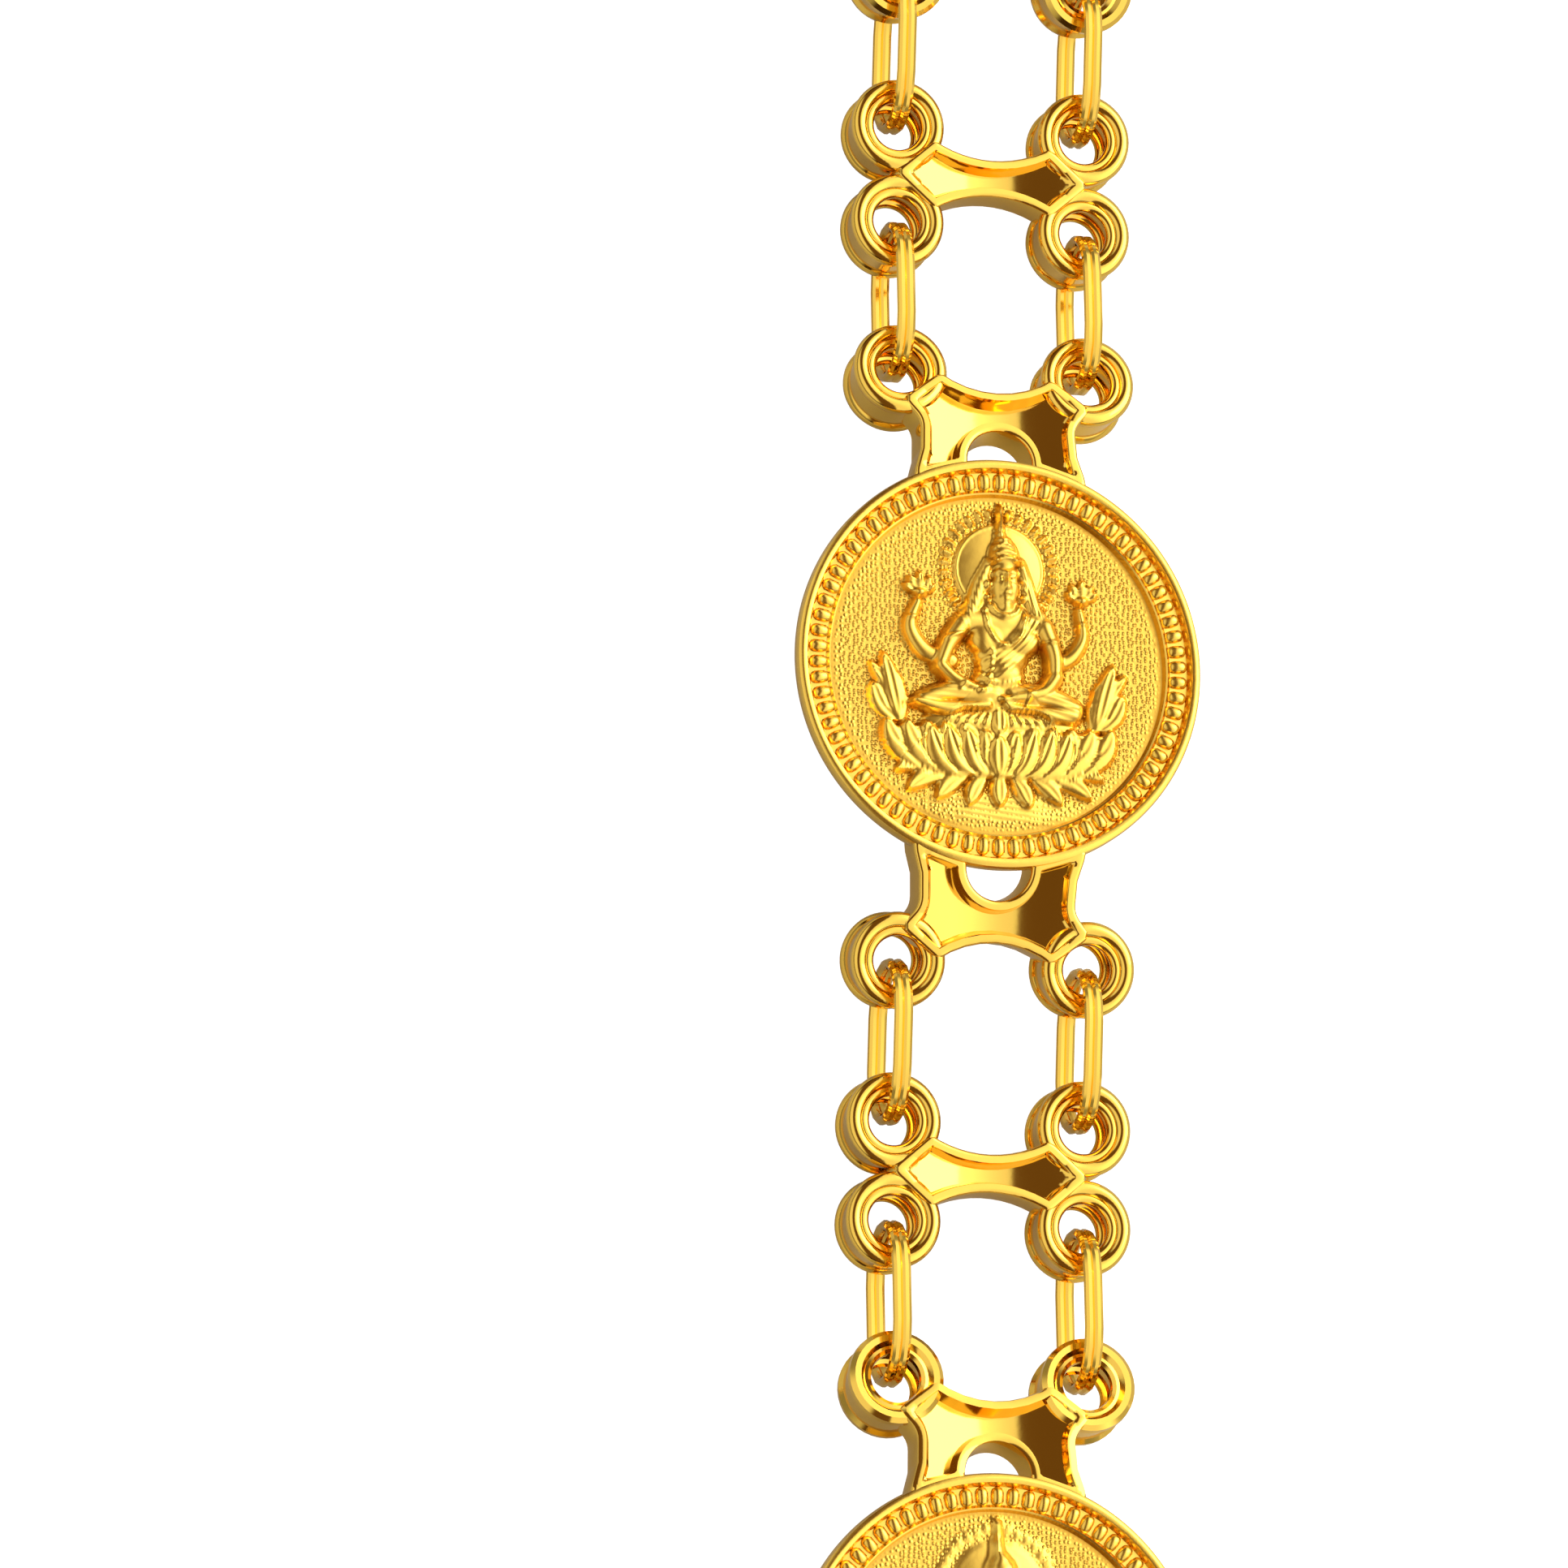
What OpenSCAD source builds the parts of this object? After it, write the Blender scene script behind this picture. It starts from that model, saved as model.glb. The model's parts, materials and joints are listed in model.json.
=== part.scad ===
/* [Chain] */
// Medallions on one straight side of the loop
side_count = 6; // [3:1:9]
// Medallions strictly inside each rounded end of the loop
end_count = 5; // [5:1:9]
// Sideways distance between the two rows of links
row_spacing = 6.08; // [5.8:0.02:6.6]
// Level distance between two joined eyes on a straight side
link_run = 5.05; // [4.95:0.01:5.1]
// Mean level distance between two joined eyes on a rounded end
link_run_end = 4.65; // [4.6:0.01:4.7]
// Drop from an eye of a medallion to an eye of a spacer
eye_drop = 0.44; // [0.3:0.01:0.5]

/* [Link] */
// Outer length of an oval link
link_length = 5.2; // [5.1:0.01:5.3]
// Depth between the middles of a link's front and back bars
link_depth = 3.18; // [3.1:0.02:3.3]
// Radius of each of the two wires of a link
link_wire_r = 0.17; // [0.14:0.01:0.19]
// Distance between the middles of the two wires
link_wire_gap = 0.26; // [0.2:0.01:0.3]

/* [Eye] */
// Radius of an eye to the middle of its wire
eye_r = 1.25; // [1.15:0.01:1.3]
// Radius of the round wire of an eye
eye_wire_r = 0.23; // [0.18:0.01:0.25]
// Distance between the front and back rings of an eye
eye_depth = 1.4; // [1.2:0.02:1.5]

/* [Medallion] */
// Outer radius of the medallion
coin_r = 6.5; // [6.2:0.05:6.8]
// Thickness of the medallion at its rim
coin_t = 1.8; // [1.4:0.05:2.2]
// Height of the upright side below the rim's face
side_h = 0.55; // [0.4:0.05:0.8]
// Radius of the flat back, to which the side narrows
back_r = 6; // [5.8:0.05:6.1]
// Depth of the sunken field below the rim
field_depth = 0.5; // [0.3:0.05:0.7]
// Number of beads in the border
bead_count = 74; // [60:1:76]
// Radius of a bead of the border at its foot
bead_r = 0.23; // [0.18:0.01:0.24]
// Number of beads round the halo
ray_count = 24; // [20:1:32]
// Radius of the smooth halo disc
halo_r = 1.4; // [1.2:0.05:1.6]

/* [Bracket] */
// Distance from the medallion's centre to the middle of an eye, along the bracket
eye_reach = 9.33; // [9.2:0.01:9.5]
// Backward slope of a bracket, in degrees
bracket_slope = 10; // [6:0.5:10]
// Thickness of a bracket plate
plate_t = 1.2; // [0.8:0.05:1.3]
// Distance of the bracket's middle plane behind the medallion's
bracket_back = 0.15; // [0.15:0.05:0.3]
// Radius of the arched window above the medallion's rim
window_r = 1.04; // [0.8:0.02:1.1]
// Distance from a spacer's middle to the middle of its eyes, along the chain
spacer_reach = 1.55; // [1.52:0.01:1.65]

/* [Hidden] */
$fn = 32;
wire_fn = 16;
count = 2 * (side_count - 1) + 2 * (end_count + 1);
half = count / 2;
end_pitches = end_count + 1;
turn = 180 / (2 * end_pitches);
neck_station = side_count - 1 + floor(end_pitches / 2);
ganesha_station = side_count - 1;

function two(n) = n < 10 ? str("0", n) : str(n);
function is_clasp(i) = i == neck_station;
function medallion_name(i) = i == ganesha_station ? "ganesha_medallion"
    : str("lakshmi_medallion_", two(i < ganesha_station ? i + 1 : i));
function spacer_name(i) = is_clasp(i) ? "clasp" : str("spacer_", two(i < neck_station ? i + 1 : i));

gold = [0.93, 0.70, 0.22];
pale_gold = [0.97, 0.80, 0.38];
row_x = row_spacing / 2;
hinge_y = 6;
eye_y = hinge_y + (eye_reach - hinge_y) * cos(bracket_slope);
eye_below_coin = bracket_back + (eye_reach - hinge_y) * sin(bracket_slope);
rim_z = coin_t / 2;
field_z = rim_z - field_depth;
plate_front = eye_depth / 2 + eye_wire_r + 0.02;
root = 0.25;

// Layout of the loop. The chain climbs its straight right-hand side, and each pitch goes from one
// medallion over a spacer to the next. On a rounded end each pair of links turns by the same angle.

function turn_at(i) = (i % half) < side_count - 1 ? 0 : turn;
function run_at(i) = turn_at(i) == 0 ? link_run : link_run_end;
function step(heading, d) = d * [cos(heading), sin(heading)];
function spacer_from(p, i) = let (t = turn_at(i), h = p[2])
    [each ([p[0], p[1]] + step(h, eye_y) + step(h + t / 2, run_at(i)) + step(h + t, spacer_reach)), h + t];
function next_from(p, i) = let (t = turn_at(i), s = spacer_from(p, i), h = s[2])
    [each ([s[0], s[1]] + step(h, spacer_reach) + step(h + t / 2, run_at(i)) + step(h + t, eye_y)), h + t];
raw = [for (i = 0, p = [0, 0, 90]; i < count; p = next_from(p, i), i = i + 1) p];
function mean(list, k) = [for (v = list) v[k]] * [for (v = list) 1] / len(list);
middle = [mean(raw, 0), mean(raw, 1), 0];
medallions = [for (p = raw) p - middle];
spacers = [for (i = [0:count - 1]) spacer_from(medallions[i], i)];

// Heights above the ground. The lowest link is one of the inner row on a rounded end.
link_out_r = link_depth / 2 + link_wire_r;
link_straight = link_length / 2 - link_out_r;
inner_run = link_run_end - row_spacing * sin(turn / 2);
inner_slope = atan(eye_drop / inner_run);
spacer_z = link_out_r - eye_drop / 2 + link_straight * sin(inner_slope);
medallion_z = spacer_z + eye_drop + eye_below_coin;

function eye_at(p, x, y, z) = [each ([p[0], p[1]] + step(p[2] - 90, x) + step(p[2], y)), z];

// Two ends of each link of the row at sideways offset x, from its medallion to its spacer.
function link_ends(x) = [for (i = [0:count - 1]) let (n = (i + 1) % count) each [
    [eye_at(medallions[i], x, eye_y, spacer_z + eye_drop), eye_at(spacers[i], x, -spacer_reach, spacer_z)],
    [eye_at(medallions[n], x, -eye_y, spacer_z + eye_drop), eye_at(spacers[i], x, spacer_reach, spacer_z)]]];

module at(p, z, flip = false) {
    translate([p[0], p[1], z]) rotate([0, 0, p[2] - 90 + (flip ? 180 : 0)]) children();
}

// Round ring eye: a front and a back ring of round wire with a sunken web between them.
module eye() {
    web_in = eye_r - 0.13;
    web_out = eye_r + 0.11;
    rotate_extrude() {
        for (z = [-eye_depth / 2, eye_depth / 2]) translate([eye_r, z]) circle(eye_wire_r, $fn = wire_fn);
        translate([web_in, -eye_depth / 2]) square([web_out - web_in, eye_depth]);
    }
}

// Outline of the bracket above the medallion. It flares a little at its foot, which ends inside the rim, is
// narrow above that and has an ear over each eye.
module bracket_outline() {
    foot_r = 6.14;
    foot = [2.85, 5.2];
    ankle = [2.74, 5.95];
    shin = [2.55, 6.6];
    waist = [2.5, 7.6];
    ear_tip = [3.08, 8.28];
    ear_top = [1.82, 9.26];
    dip_y = 8.66;
    dip_r = (pow(ear_top[0], 2) + pow(ear_top[1] - dip_y, 2)) / (2 * (ear_top[1] - dip_y));
    side = [foot, ankle, shin, waist, ear_tip, ear_top];
    difference() {
        polygon(concat(side, [for (k = [len(side) - 1:-1:0]) [-side[k][0], side[k][1]]]));
        translate([0, dip_y + dip_r]) circle(dip_r);
        translate([0, 6.3]) circle(window_r);
        circle(foot_r);
    }
}

module bracket() {
    translate([0, hinge_y, -bracket_back]) rotate([-bracket_slope, 0, 0]) translate([0, -hinge_y, 0]) {
        translate([0, 0, plate_front - plate_t]) linear_extrude(plate_t) bracket_outline();
        for (s = [-1, 1]) translate([s * row_x, eye_reach, 0]) eye();
    }
}

module brackets() {
    for (a = [0, 180]) rotate([0, 0, a]) bracket();
}

// Ring of n beads at radius r. Each is a blunt cone whose top stands h above the field.
module bead_ring(r, n, bead, h) {
    foot = bead + 0.02;
    top = 0.6 * bead;
    for (k = [0:n - 1]) let (a = 360 * (k + 0.5) / n)
        translate([r * cos(a), r * sin(a), field_z - root]) cylinder(root + h, foot, top, $fn = wire_fn);
}

// Relief pieces stand on the field and are rooted a little below it.
module raised(h) {
    translate([0, 0, field_z - root]) linear_extrude(root + h) children();
}

// Tapered limb with rounded ends from p to q.
module limb(p, q, r1, r2, h) {
    az = atan2(q[1] - p[1], q[0] - p[0]);
    raised(h) polygon([
        for (a = [-90:90:90]) q + r2 * [cos(az + a), sin(az + a)],
        for (a = [90:90:270]) p + r1 * [cos(az + a), sin(az + a)]]);
}

// Pointed petal or leaf from its root p to its tip q.
module petal(p, q, w, h) {
    d = q - p;
    n = [-d[1], d[0]] / norm(d) * w;
    raised(h) polygon([p, p + d * 0.45 + n, q, p + d * 0.45 - n]);
}

// Rounded boss whose top stands h above the field.
module boss(x, y, r, h) {
    translate([x, y, field_z + h - r]) sphere(r);
}

module limbs(rows) {
    for (v = rows) limb([v[0], v[1]], [v[2], v[3]], v[4], v[5], v[6]);
}

module bosses(rows) {
    for (v = rows) boss(v[0], v[1], v[2], v[3]);
}

// Seated goddess with four arms, in front of a rayed halo and on a lotus.
module lakshmi_relief() {
    halo = [0, 3.05];
    raised_halo = 0.1;
    translate([halo[0], halo[1]]) {
        raised(raised_halo) circle(halo_r);
        bead_ring(halo_r + 0.28, ray_count, 0.14, 0.13);
    }
    raised(0.48) polygon([[-0.36, 3.3], [0.44, 3.3], [0.17, 4.1], [0, 5.1], [-0.13, 4.1]]);
    // x1, y1, x2, y2, first radius, second radius, height
    limbs([
        [0.08, 1.0, 0.05, -0.4, 0.92, 0.5, 0.44],
        [0.02, -0.7, 0.02, -1.2, 0.6, 0.85, 0.4],
        [-1.15, 1.25, 1.3, 1.25, 0.32, 0.32, 0.41],
        [0.15, 2.1, 0.13, 1.4, 0.26, 0.34, 0.46],
        [-0.38, 3.05, -0.78, 1.6, 0.24, 0.28, 0.33],
        [0.72, 3.05, 1.02, 1.6, 0.24, 0.28, 0.34],
        [-1.25, 1.15, -1.85, -0.25, 0.31, 0.25, 0.5],
        [-1.85, -0.25, -0.95, -1.0, 0.25, 0.19, 0.56],
        [1.35, 1.15, 1.9, -0.2, 0.31, 0.25, 0.5],
        [1.9, -0.2, 0.35, -1.15, 0.25, 0.18, 0.57],
        [-1.45, 0.1, -2.85, 0.85, 0.24, 0.2, 0.28],
        [-2.85, 0.85, -2.65, 2.1, 0.2, 0.15, 0.3],
        [1.6, 0.1, 2.75, 0.85, 0.24, 0.2, 0.27],
        [2.75, 0.85, 2.62, 2.05, 0.2, 0.15, 0.29],
        [-0.1, -1.3, -2.4, -1.25, 0.42, 0.26, 0.54],
        [0.25, -1.32, 2.35, -1.4, 0.4, 0.27, 0.53],
        [-3.1, -2.2, -3.75, -0.4, 0.2, 0.36, 0.26],
        [3.1, -2.2, 3.75, -0.4, 0.2, 0.36, 0.25],
        [-2.0, -4.8, 2.0, -4.8, 0.12, 0.12, 0.1]]);
    // x, y, radius, height of the top
    bosses([
        [0.18, 2.72, 0.56, 0.66],
        [0.15, 3.2, 0.5, 0.6],
        [-0.48, 0.85, 0.44, 0.66],
        [0.64, 0.85, 0.44, 0.65],
        [-2.62, 2.55, 0.36, 0.4],
        [2.65, 2.48, 0.36, 0.4],
        [-3.78, 0.05, 0.3, 0.36],
        [3.8, 0.05, 0.3, 0.36],
        [-0.85, -1.05, 0.24, 0.64],
        [0.2, -1.2, 0.24, 0.63]]);
    for (k = [-5:5]) petal([k * 0.36, -3.6], [k * 0.74, -1.85 - 0.02 * abs(k)], 0.3, 0.36 - 0.012 * abs(k));
    for (k = [-4:4]) petal([k * 0.34, -3.3], [k * 0.8, -4.45 + 0.055 * k * k], 0.26, 0.24 + 0.006 * k);
}

// Seated elephant-headed figure with four arms and a tall crown, on a plain plinth.
module ganesha_relief() {
    raised(0.5) polygon([[-0.85, 2.6], [1.25, 2.6], [0.85, 3.6], [0.24, 5.15], [-0.4, 3.6]]);
    for (s = [-1, 1]) raised(0.34 + 0.01 * s) translate([0.2 + s * 1.5, 1.95]) circle(0.95);
    // x1, y1, x2, y2, first radius, second radius, height
    limbs([
        [0.2, 1.5, 0.1, 0.4, 0.5, 0.36, 0.62],
        [0.1, 0.4, -0.35, -0.35, 0.36, 0.3, 0.64],
        [-0.35, -0.35, -1.05, -0.3, 0.3, 0.2, 0.66],
        [-1.1, 0.75, 1.5, 0.75, 0.5, 0.5, 0.4],
        [-1.3, 0.6, -2.75, 1.1, 0.36, 0.3, 0.3],
        [-2.75, 1.1, -2.55, 2.7, 0.3, 0.24, 0.31],
        [1.7, 0.6, 3.1, 1.1, 0.36, 0.3, 0.29],
        [3.1, 1.1, 2.95, 2.7, 0.3, 0.24, 0.32],
        [-1.4, 0.5, -2.3, -0.8, 0.4, 0.32, 0.47],
        [-2.3, -0.8, -1.5, -1.45, 0.32, 0.24, 0.56],
        [1.8, 0.5, 2.65, -0.8, 0.4, 0.32, 0.46],
        [2.65, -0.8, 1.8, -1.5, 0.32, 0.24, 0.57],
        [-0.7, -2.55, -2.9, -2.5, 0.55, 0.42, 0.52],
        [1.1, -2.55, 3.2, -2.5, 0.55, 0.42, 0.51],
        [-2.9, -2.5, 0.1, -3.3, 0.42, 0.26, 0.44],
        [3.2, -2.5, 0.5, -3.3, 0.42, 0.26, 0.43]]);
    // x, y, radius, height of the top
    bosses([
        [0.2, 2.0, 1.05, 0.7],
        [0.2, -1.15, 1.55, 0.72],
        [0.24, 5.0, 0.22, 0.55],
        [-2.55, 2.95, 0.42, 0.4],
        [2.95, 2.95, 0.42, 0.4],
        [-1.4, -1.5, 0.3, 0.66],
        [1.7, -1.55, 0.3, 0.65]]);
    raised(0.3) translate([-3.3, -4.2]) square([6.9, 0.5]);
    raised(0.22) translate([-2.7, -4.65]) square([5.7, 0.5]);
}

// Body of a medallion, turned: a flat back, a side that widens to the rim, a plain band at the rim, a
// sunken field and a ridge round it.
module coin_body(band_in, ridge_out, ridge_w, ridge_h) {
    edge = 0.12;
    rotate_extrude() polygon([
        [0, -rim_z], [back_r, -rim_z], [coin_r, rim_z - side_h], [coin_r, rim_z - edge],
        [coin_r - edge, rim_z], [band_in, rim_z], [band_in - 0.1, field_z],
        [ridge_out, field_z], [ridge_out - 0.03, field_z + ridge_h],
        [ridge_out - ridge_w, field_z + ridge_h], [ridge_out - ridge_w, field_z], [0, field_z]]);
}

module lakshmi_medallion() {
    color(gold) {
        coin_body(coin_r - 0.34, coin_r - 0.98, 0.14, 0.36);
        bead_ring(coin_r - 0.7, bead_count, bead_r, 0.32);
        lakshmi_relief();
        brackets();
    }
}

module ganesha_medallion() {
    color(gold) {
        coin_body(coin_r - 0.62, coin_r - 0.85, 0.12, 0.12);
        ganesha_relief();
        brackets();
    }
}

// Bow-tie plate over four eyes.
module spacer() {
    tip = [3.2, 0];
    ear = [1.9, 1.14];
    waist_y = 0.6;
    dip_r = (pow(ear[0], 2) + pow(ear[1] - waist_y, 2)) / (2 * (ear[1] - waist_y));
    color(pale_gold) {
        translate([0, 0, plate_front - plate_t]) linear_extrude(plate_t) difference() {
            polygon([tip, ear, [-ear[0], ear[1]], -tip, -ear, [ear[0], -ear[1]]]);
            for (s = [-1, 1]) translate([0, s * (waist_y + dip_r)]) circle(dip_r);
        }
        spacer_eyes();
    }
}

module spacer_eyes() {
    for (sx = [-1, 1], sy = [-1, 1]) translate([sx * row_x, sy * spacer_reach, 0]) eye();
}

// Plain box clasp with the same four eyes.
module clasp() {
    box_half = [1.7, 2.5];
    bar_half = [3.6, 0.45];
    back = -0.8;
    color(gold) {
        translate([0, 0, back]) linear_extrude(plate_front - back) {
            translate(-box_half) square(2 * box_half);
            translate(-bar_half) square(2 * bar_half);
        }
        spacer_eyes();
    }
}

// Oval link of two round wires side by side. It stands on edge, its length along y.
module link() {
    mid_r = link_depth / 2;
    rotate([0, 90, 0]) {
        for (a = [0, 180]) rotate([0, 0, a]) {
            translate([0, link_straight, 0]) rotate_extrude(angle = 180) wire_pair(mid_r);
            translate([0, link_straight, 0]) rotate([90, 0, 0])
                linear_extrude(2 * link_straight) wire_pair(mid_r);
        }
    }
}

module wire_pair(x) {
    for (s = [-1, 1]) translate([x, s * link_wire_gap / 2]) circle(link_wire_r, $fn = wire_fn);
}

module link_row(x) {
    color(pale_gold) for (ends = link_ends(x)) {
        d = ends[1] - ends[0];
        level = norm([d[0], d[1]]);
        translate((ends[0] + ends[1]) / 2) rotate([0, 0, atan2(d[1], d[0]) - 90])
            rotate([atan2(d[2], level), 0, 0]) link();
    }
}

for (i = [0:count - 1]) at(medallions[i], medallion_z, i > neck_station && i < neck_station + half) {
        if (i == ganesha_station) ganesha_medallion();
        else lakshmi_medallion();
    }
for (i = [0:count - 1]) at(spacers[i], spacer_z) {
        if (is_clasp(i)) clasp();
        else spacer();
    }
link_row(row_x);  // links_outer
link_row(-row_x);  // links_inner
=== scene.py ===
import json
import math

import bmesh
import bpy
import numpy as np
from mathutils import Matrix, Vector
from mathutils.geometry import delaunay_2d_cdt


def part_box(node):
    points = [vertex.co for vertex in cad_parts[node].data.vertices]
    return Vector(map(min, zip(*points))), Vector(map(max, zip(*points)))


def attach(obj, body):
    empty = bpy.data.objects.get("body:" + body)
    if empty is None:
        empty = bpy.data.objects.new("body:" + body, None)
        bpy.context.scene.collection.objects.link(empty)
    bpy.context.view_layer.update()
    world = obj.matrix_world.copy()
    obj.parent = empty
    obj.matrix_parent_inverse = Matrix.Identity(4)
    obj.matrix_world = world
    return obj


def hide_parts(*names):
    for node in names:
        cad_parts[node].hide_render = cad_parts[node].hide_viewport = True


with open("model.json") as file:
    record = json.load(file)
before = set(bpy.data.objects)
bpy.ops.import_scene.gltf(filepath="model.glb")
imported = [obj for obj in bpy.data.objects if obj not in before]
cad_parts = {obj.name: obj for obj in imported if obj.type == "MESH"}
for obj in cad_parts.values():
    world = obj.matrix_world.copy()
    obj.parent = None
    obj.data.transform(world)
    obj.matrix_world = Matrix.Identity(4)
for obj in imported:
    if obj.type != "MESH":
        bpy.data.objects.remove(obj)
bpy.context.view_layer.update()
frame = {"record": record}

# The loop of the chain. Medallions and spacers alternate along it and lie flat, each at the place that the
# frame gives its node. The chain turns by the same angle at every pair of links on its two rounded ends.
MM = 0.001
COUNT = 22
HALF = COUNT // 2
LAST_STRAIGHT = 5
GANESHA_STATION = 5
CLASP_STATION = 8
NEAR_STATION = 2
TURN = math.radians(15)
COIN_T = 1.8


def station_node(i):
    if i == GANESHA_STATION:
        return "ganesha_medallion"
    return f"lakshmi_medallion_{i + 1 if i < GANESHA_STATION else i:02d}"


def spacer_node(i):
    return "clasp" if i == CLASP_STATION else f"spacer_{i + 1 if i < CLASP_STATION else i:02d}"


def turns_before(i):
    """How many pairs of links on the rounded ends lie before medallion i."""
    return 2 * max(0, min(i, HALF) - LAST_STRAIGHT) + 2 * max(0, i - HALF - LAST_STRAIGHT)


def placed(node, height, angle):
    low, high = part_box(node)
    middle = (low + high) / 2
    return Matrix.Translation((middle.x, middle.y, height)) @ Matrix.Rotation(angle, 4, "Z")


def is_flipped(i):
    return CLASP_STATION < i < CLASP_STATION + HALF


mounts = {m["name"]: m for m in frame["record"]["mounts"]}
medallion_z = mounts["medallion_back"]["pos_m"][2] + COIN_T / 2 * MM
medallion_at = [placed(station_node(i), medallion_z, turns_before(i) * TURN) for i in range(COUNT)]


# Ring eyes. Each is a round wire ring in front and one behind, soldered over a sunken tube with a smaller
# ring in each of its mouths, all in polished yellow gold. The section is turned about the eye's axis.
EYE_R = 1.25
EYE_WIRE_R = 0.26
EYE_DEPTH = 1.34
ROW_X = 3.04
# How finely a piece is made: steps round an eye, points on each of its rings, steps round the medallion's
# rim, cells across its field, passes that soften the cast figure, grid of a plate and rounds of the bars.
# A collar is the radius, wire and height of an eye's smaller rings, and the narrow one clears links that
# come in at an angle. The loops are the distances from a plate's edge at which it has rows of points.
WIDE_COLLAR = (0.95, 0.19, 0.6)
NARROW_COLLAR = (1.06, 0.15, 0.5)
FINE = {"eye": 60, "section": 10, "rim": 256, "cells": 252, "blur": 1, "plate": 0.09, "bar": 2,
        "collar": WIDE_COLLAR, "loops": (0.02, 0.05, 0.09, 0.14, 0.28, 0.31, 0.34, 0.37, 0.41)}
MIDDLE = {"eye": 40, "section": 7, "rim": 160, "cells": 120, "blur": 1, "plate": 0.13, "bar": 2,
          "collar": WIDE_COLLAR, "loops": (0.04, 0.12, 0.28, 0.34, 0.41)}
PLAIN = {"eye": 20, "section": 5, "rim": 80, "cells": 76, "blur": 1, "plate": 0.25, "bar": 1,
         "collar": NARROW_COLLAR, "loops": (0.06, 0.28, 0.41)}
CLEAR = {**MIDDLE, "cells": 190, "blur": 3, "collar": NARROW_COLLAR}
GOLD_RGB = (1.0, 0.63, 0.1)
# The deep colour stands partly for patina and partly for painted shade in the recesses.
PATINA_AND_SHADE_RGB = (0.5, 0.21, 0.01)
GLOSS_LOW = 0.8
GLOSS_HIGH = 1.25
SAME_POINT = 1e-7


def turned(section, steps):
    """Closed shape turned about Z from the corners (radius, height) of its section, in mm."""
    bm = bmesh.new()
    corners = [bm.verts.new((r * MM, 0, z * MM)) for r, z in section]
    closing = [] if section[0][0] <= 0 else [(corners[-1], corners[0])]
    edges = [bm.edges.new(pair) for pair in [*zip(corners, corners[1:]), *closing]]
    bmesh.ops.spin(bm, geom=corners + edges, cent=(0, 0, 0), axis=(0, 0, 1), angle=math.tau,
                   steps=steps, use_merge=True)
    bmesh.ops.remove_doubles(bm, verts=bm.verts, dist=SAME_POINT)
    bmesh.ops.recalc_face_normals(bm, faces=bm.faces)
    return bm


def join(bm, other, matrix=Matrix.Identity(4), material=0):
    """Adds a copy of another bmesh, moved by the matrix, and frees the other."""
    mesh = bpy.data.meshes.new("part")
    for face in other.faces:
        face.material_index = material
    other.to_mesh(mesh)
    other.free()
    mesh.transform(matrix)
    bm.from_mesh(mesh)
    bpy.data.meshes.remove(mesh)


def arc(centre, radius, start, end, count):
    """Points on an arc from start to end degrees, both ends included."""
    angles = [math.radians(start + (end - start) * k / (count - 1)) for k in range(count)]
    return [(centre[0] + radius * math.cos(a), centre[1] + radius * math.sin(a)) for a in angles]


def ring_eye(detail):
    """The section runs over the front ring, through the mouth over both smaller rings, and over the back."""
    n = detail["section"]
    collar_n = n // 2 + 3
    r, wire_r, z = detail["collar"]
    front = arc((EYE_R, EYE_DEPTH / 2), EYE_WIRE_R, -60, 200, n)
    front_collar = arc((r, z), wire_r, 60, 270, collar_n)
    back_collar = arc((r, -z), wire_r, 90, 300, collar_n)
    back = arc((EYE_R, -EYE_DEPTH / 2), EYE_WIRE_R, 160, 420, n)
    return turned(front + front_collar + back_collar + back, detail["eye"])


def gold(name, roughness, cloud_scale, cloud_height):
    """Yellow gold: deeper colour in the recesses, partly patina and partly painted shade, with a faint
    unevenness in its gloss and surface.
    """
    mat = bpy.data.materials.new(name)
    mat.use_nodes = True
    nodes, links = mat.node_tree.nodes, mat.node_tree.links
    shader = nodes["Principled BSDF"]
    shader.inputs["Metallic"].default_value = 1.0
    place = nodes.new("ShaderNodeTexCoord")
    patina_and_shade = nodes.new("ShaderNodeAttribute")
    patina_and_shade.attribute_name = "patina_and_shade"
    tint = nodes.new("ShaderNodeMix")
    tint.data_type = "RGBA"
    tint.inputs["A"].default_value = (*GOLD_RGB, 1)
    tint.inputs["B"].default_value = (*PATINA_AND_SHADE_RGB, 1)
    links.new(patina_and_shade.outputs["Fac"], tint.inputs["Factor"])
    links.new(tint.outputs["Result"], shader.inputs["Base Color"])
    cloud = nodes.new("ShaderNodeTexNoise")
    cloud.inputs["Scale"].default_value = cloud_scale
    cloud.inputs["Detail"].default_value = 3.0
    links.new(place.outputs["Object"], cloud.inputs["Vector"])
    gloss = nodes.new("ShaderNodeMapRange")
    gloss.inputs["To Min"].default_value = roughness * GLOSS_LOW
    gloss.inputs["To Max"].default_value = roughness * GLOSS_HIGH
    links.new(cloud.outputs["Fac"], gloss.inputs["Value"])
    links.new(gloss.outputs["Result"], shader.inputs["Roughness"])
    bump = nodes.new("ShaderNodeBump")
    bump.inputs["Distance"].default_value = cloud_height * MM
    links.new(cloud.outputs["Fac"], bump.inputs["Height"])
    links.new(bump.outputs["Normal"], shader.inputs["Normal"])
    return mat


polished = gold("polished_gold", 0.1, 900, 0.004)


# Bracket plates. Each is a gold plate with a bright raised border round a hollow polished pocket, and an
# arch over the medallion's rim. Its outline is filled with small triangles, which are then pressed down.
HINGE_Y = 6.0
EYE_REACH = 9.33
BRACKET_SLOPE = math.radians(10)
BRACKET_BACK = 0.15
PLATE_T = 1.2
PLATE_FRONT = 0.96
BORDER_W = 0.28
WALL_W = 0.13
TROUGH = 0.52
WINDOW_R = 1.04
WINDOW_Y = 6.3
FOOT_R = 6.2
FOOT_X = 1.03
COIN_R = 6.5
EDGE_ROUND = 0.12
POCKET_STEP = 0.06
TROUGH_HALF_W = 2.6
BEND_REACH = 0.3
NEARLY_STRAIGHT = math.radians(20)
HALF_EDGE = 0.45


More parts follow.
